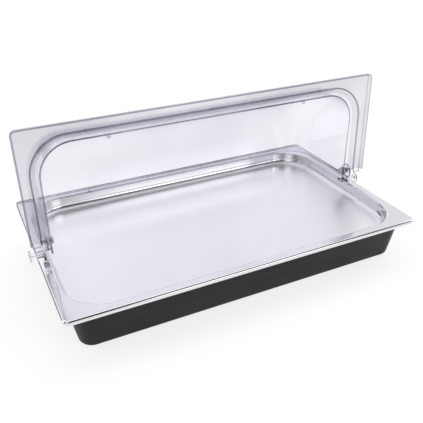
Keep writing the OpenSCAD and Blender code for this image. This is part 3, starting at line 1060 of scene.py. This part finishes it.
def make_front_nubs():
    """Nubs on the cut edge, stops under the bend and ribs beside the arch."""
    bm = bmesh.new()
    face = -FRONT_CUT + ROOT
    for sign in (-1, 1):
        nub(bm, sign * NUB_X, FRONT_RADIUS + FRONT_NUB_OUT, FRONT_NUB_RADIUS,
            NUB_REACH + ROOT, lambda z, out: (face - out, z))
    seat = -PIVOT_UP + FRONT_SEAT
    for i in (-1, 0, 1):
        nub(bm, i * STOP_X, FRONT_RADIUS + FRONT_BEND - STOP_INSET, STOP_RADIUS,
            STOP_HEIGHT, lambda y, out: (y, seat + out))
    for i in (-3, -1, 1, 3):
        left, right = i * RIB_STEP - RIB_HALF, i * RIB_STEP + RIB_HALF
        rib = [(left, -FRONT_CUT), (right, -FRONT_CUT), (right, -RIB_END_GAP),
               (left, -RIB_END_GAP)]
        bevelled_plate(bm, rib, [], FRONT_RADIUS - RIB_DEPTH, FRONT_RADIUS + RIB_HEIGHT,
                       RIB_ROUNDING, level)
    bmesh.ops.transform(bm, verts=bm.verts, matrix=to_rest())
    piece = finish_piece("front_nubs", bm, CLEAR_FLANGE_PAINTED_SHADE)
    dress(piece, "front", "clear_cover")


# --------------------------------------------------------------------- hinges

def finish_on_hinge(name, side, bm, material, slot, node):
    """Makes a piece of a hinge, which is drawn for the right side."""
    if side == "left":
        bmesh.ops.scale(bm, verts=bm.verts, vec=(-1, 1, 1))
    piece = finish_piece(f"{name}_{side}", bm, material)
    dress(piece, "cover", slot, f"{node}_{side}")


def make_bracket(side):
    """A disc round the pivot on a foot, with a round tab that hangs over the rim."""
    low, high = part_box("hinge_bracket_right")
    front, back = PIVOT.y - FOOT_HALF, PIVOT.y + FOOT_HALF
    foot_z = RIM_Z + SEAT_GAP
    plate_end = low.x + PLATE_THICK
    lean = math.degrees(math.asin(FOOT_HALF / DISC_RADIUS))
    disc = arc((PIVOT.y, PIVOT.z), DISC_RADIUS, -90 + lean, 270 - lean, steps=44)
    disc += [(front, foot_z), (back, foot_z)]
    bore = circle((PIVOT.y, PIVOT.z), PIN_BORE, steps=32)
    inner_x = plate_end - FOOT_ROOT
    foot = [(inner_x, front), (high.x, front), (high.x, back), (inner_x, back)]
    tab_z = RIM_Z + TAB_RAISE
    tab = circle((PIVOT.y, tab_z), tab_z - low.z, steps=48)
    bm = bmesh.new()
    bevelled_plate(bm, disc, [(bore, None)], low.x, plate_end, PLATE_ROUNDING, across)
    bevelled_plate(bm, foot, [], foot_z, RIM_Z + FOOT_THICK, PLATE_ROUNDING, level)
    bevelled_plate(bm, tab, [], high.x - TAB_THICK, high.x, PLATE_ROUNDING, across)
    finish_on_hinge("bracket", side, bm, BRACKET, "clear_bracket", "hinge_bracket")


def make_pin(side):
    """A headed pin with a dimple in its head."""
    low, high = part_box("pivot_pin_right")
    head = (high.z - low.z) / 2
    head_x = high.x - HEAD_THICK
    soft = HEAD_ROUNDING
    profile = [(low.x, PIN_RADIUS - PIN_CHAMFER), (low.x + PIN_CHAMFER, PIN_RADIUS),
               (head_x, PIN_RADIUS), (head_x, head - SMALL_CHAMFER),
               (head_x + SMALL_CHAMFER, head)]
    profile += [(high.x - soft + x, head - soft + r)
                for x, r in arc((0, 0), soft, 90, 0, steps=4)]
    profile += [(high.x, DIMPLE_RADIUS), (high.x - DIMPLE_DEPTH, DIMPLE_FLOOR)]
    bm = bmesh.new()
    lathe(bm, profile, PIVOT)
    finish_on_hinge("pin", side, bm, PIN_STEEL, "pin_steel", "pivot_pin")


def make_washer(side):
    low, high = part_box("hinge_washer_right")
    outer = (high.z - low.z) / 2
    inner = PIN_BORE
    soft = SMALL_CHAMFER
    profile = [(low.x, inner + soft), (low.x, outer - soft), (low.x + soft, outer),
               (high.x - soft, outer), (high.x, outer - soft), (high.x, inner + soft),
               (high.x - soft, inner), (low.x + soft, inner)]
    bm = bmesh.new()
    lathe(bm, profile, PIVOT, closed=True)
    finish_on_hinge("washer", side, bm, NYLON, "washer_nylon", "hinge_washer")


def make_cap(side):
    """A domed cap over the pin's inner end."""
    low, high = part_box("pin_cap_right")
    outer = (high.z - low.z) / 2
    inner = PIN_BORE
    dome, soft = CAP_DOME, SMALL_CHAMFER
    profile = [(low.x, CAP_FLAT)]
    profile += [(low.x + dome - x, outer - dome + r)
                for r, x in arc((0, 0), dome, 90, 0, SOFT_STEPS)]
    profile += [(high.x - soft, outer), (high.x, outer - soft), (high.x, inner + soft),
                (high.x - soft, inner), (low.x + dome, inner), (low.x + dome, CAP_FLAT)]
    bm = bmesh.new()
    lathe(bm, profile, PIVOT)
    finish_on_hinge("cap", side, bm, NYLON, "washer_nylon", "pin_cap")


# ---------------------------------------------------------------------- stage

FLOOR_REACH = 9
FLOOR_LINES = 6
FLOOR_GAP = 0.05 * MM
FLOOR_GLOW = 0.79

# The camera sees a plain grey world. Reflections see a studio: a sky, given by the sine
# of the height and its brightness, a bright sweep at the back, and dark patches
CAMERA_GREY = (0.84, 0.84, 0.84, 1)
SKY_STOPS = [(0.0, 0.25), (0.03, 0.05), (0.08, 0.10), (0.17, 0.95), (0.55, 0.95), (1.0, 0.45)]
SKY_TINT = (0.97, 0.97, 1.0)
SWEEP_LIGHT = (0.74, 0.74, 0.76, 1)
SWEEP_FULL = 0.5
WORLD_STRENGTH = 1.2
# Azimuth from +X, height above the floor, and the angles from the patch's middle where
# the dark starts and is full
DARK_PATCHES = [(246, 29, 16, 8), (186, 29, 26, 16), (300, 58, 38, 28), (118, 6, 18, 10)]
PATCH_LIGHT = 0.04

# Name, place, what it points at, size and watts
SOFTBOXES = [("overhead", (0.1, 0.4, 1.9), (0, 0.05, 0), (2.4, 1.6), 6),
             ("behind", (0.3, 2.6, 1.7), (0, 0, 0), (3.6, 1.5), 4),
             ("front", (0.95, -1.95, 1.25), (0, 0, 0), (1.2, 0.8), 5),
             ("left", (-1.9, 0.3, 0.9), (0, 0, 0.1), (0.8, 1.2), 4),
             ("right", (1.8, 0.2, 1.0), (0, 0, 0.1), (0.6, 1.2), 4)]

# Lens and sensor are in millimetres, and turns in radians: from +Y to +X, down from
# level, and about the camera's own axis
CAMERA_PLACE = (-0.3284, -0.6813, 0.4885)
CAMERA_HEADING = 0.4528
CAMERA_DROP = 0.5116
CAMERA_ROLL = -0.0065
CAMERA_LENS = 47.89
CAMERA_SENSOR = 36
CAMERA_NEAR = 0.02
# A ray to the rear rim and back goes through a dozen clear faces
CLEAR_BOUNCES = 32


def make_floor():
    """A plain pale floor that glows a little, as a lit sweep does."""
    m = Nodes("pale_floor")
    colour = m.blend(m.noise(3, 3), (0.30, 0.30, 0.305), (0.32, 0.32, 0.325))
    m.set(Base_Color=colour, Roughness=0.8, Specular_IOR_Level=0.1,
          Emission_Color=(1, 1, 1), Emission_Strength=FLOOR_GLOW)
    places = np.linspace(-FLOOR_REACH, FLOOR_REACH, FLOOR_LINES)
    floor_z = cad_low.z - FLOOR_GAP
    bm = bmesh.new()
    lines = [add_loop(bm, [(x, y, floor_z) for x in places]) for y in places]
    join_loops(bm, lines, closed=False)
    floor = finish_piece("floor", bm, m.material)


def softbox(name, place, aim, size, power):
    data = bpy.data.lights.new(name, "AREA")
    data.shape = "RECTANGLE"
    data.size, data.size_y = size
    data.energy = power
    lamp = bpy.data.objects.new(name, data)
    lamp.location = place
    lamp.visible_camera = False
    lamp.rotation_euler = (Vector(aim) - Vector(place)).to_track_quat("-Z", "Y").to_euler()
    bpy.context.scene.collection.objects.link(lamp)


def change(tree, amount, colour, other):
    """From a linked colour at amount 0 to the other one at 1."""
    node = tree.nodes.new("ShaderNodeMix")
    node.data_type = "RGBA"
    tree.links.new(amount, node.inputs["Factor"])
    tree.links.new(colour, node.inputs[6])
    node.inputs[7].default_value = other
    return node.outputs[2]


def sky(tree, height):
    """Light by height: bright above, and dark low down where the room is."""
    node = tree.nodes.new("ShaderNodeValToRGB")
    elements = node.color_ramp.elements
    while len(elements) < len(SKY_STOPS):
        elements.new(0.5)
    for element, (place, light) in zip(elements, SKY_STOPS):
        element.position = place
        element.color = (*(light * tint for tint in SKY_TINT), 1)
    tree.links.new(height, node.inputs["Fac"])
    return node.outputs["Color"]


def darken(tree, direction, light, azimuth, height, start, full):
    """The light with a round dark patch in it."""
    turn, lift = math.radians(azimuth), math.radians(height)
    towards = tree.nodes.new("ShaderNodeVectorMath")
    towards.operation = "DOT_PRODUCT"
    tree.links.new(direction, towards.inputs[0])
    towards.inputs[1].default_value = (math.cos(turn) * math.cos(lift),
                                       math.sin(turn) * math.cos(lift), math.sin(lift))
    share = soft_range(tree, towards.outputs["Value"], math.cos(math.radians(start)),
                       math.cos(math.radians(full)), 1.0, PATCH_LIGHT)
    dimmed = tree.nodes.new("ShaderNodeVectorMath")
    dimmed.operation = "SCALE"
    tree.links.new(light, dimmed.inputs[0])
    tree.links.new(share, dimmed.inputs["Scale"])
    return dimmed.outputs["Vector"]


def make_world():
    """A pale studio: plain to the camera, with bright and dark parts to reflect."""
    world = bpy.data.worlds.new("studio")
    world.use_nodes = True
    tree = world.node_tree
    direction = tree.nodes.new("ShaderNodeTexCoord").outputs["Generated"]
    axes = tree.nodes.new("ShaderNodeSeparateXYZ")
    tree.links.new(direction, axes.inputs["Vector"])
    sweep = soft_range(tree, axes.outputs["Y"], 0.0, SWEEP_FULL, 0.0, 1.0)
    light = change(tree, sweep, sky(tree, axes.outputs["Z"]), SWEEP_LIGHT)
    for patch in DARK_PATCHES:
        light = darken(tree, direction, light, *patch)
    path = tree.nodes.new("ShaderNodeLightPath")
    back = tree.nodes["Background"]
    tree.links.new(change(tree, path.outputs["Is Camera Ray"], light, CAMERA_GREY),
                   back.inputs["Color"])
    back.inputs["Strength"].default_value = WORLD_STRENGTH
    bpy.context.scene.world = world


def make_camera():
    """At the object's left front, a little above it."""
    data = bpy.data.cameras.new("camera")
    data.sensor_width = CAMERA_SENSOR
    data.lens = CAMERA_LENS
    data.clip_start = CAMERA_NEAR
    camera = bpy.data.objects.new("camera", data)
    level_share, roll = math.cos(CAMERA_DROP), CAMERA_ROLL
    ahead = Vector((math.sin(CAMERA_HEADING) * level_share,
                    math.cos(CAMERA_HEADING) * level_share, -math.sin(CAMERA_DROP)))
    right = ahead.cross(Vector((0, 0, 1))).normalized()
    up = right.cross(ahead)
    rolled_right = right * math.cos(roll) + up * math.sin(roll)
    rolled_up = up * math.cos(roll) - right * math.sin(roll)
    turn = Matrix((rolled_right, rolled_up, -ahead)).transposed()
    camera.matrix_world = Matrix.Translation(CAMERA_PLACE) @ turn.to_4x4()
    bpy.context.scene.collection.objects.link(camera)
    bpy.context.scene.camera = camera


def set_view():
    """Plain colours, and rays that reach through all the clear faces."""
    bpy.context.scene.view_settings.view_transform = "Standard"
    bpy.context.scene.cycles.transparent_max_bounces = CLEAR_BOUNCES


make_tray()
make_tub()
for hand in ("left", "right"):
    make_pack(hand)
    make_plug(hand)
    make_bracket(hand)
    make_pin(hand)
    make_washer(hand)
    make_cap(hand)
make_rear_shell()
make_front_shell()
make_rear_nubs()
make_front_nubs()
make_floor()
make_world()
for box in SOFTBOXES:
    softbox(*box)
make_camera()
set_view()
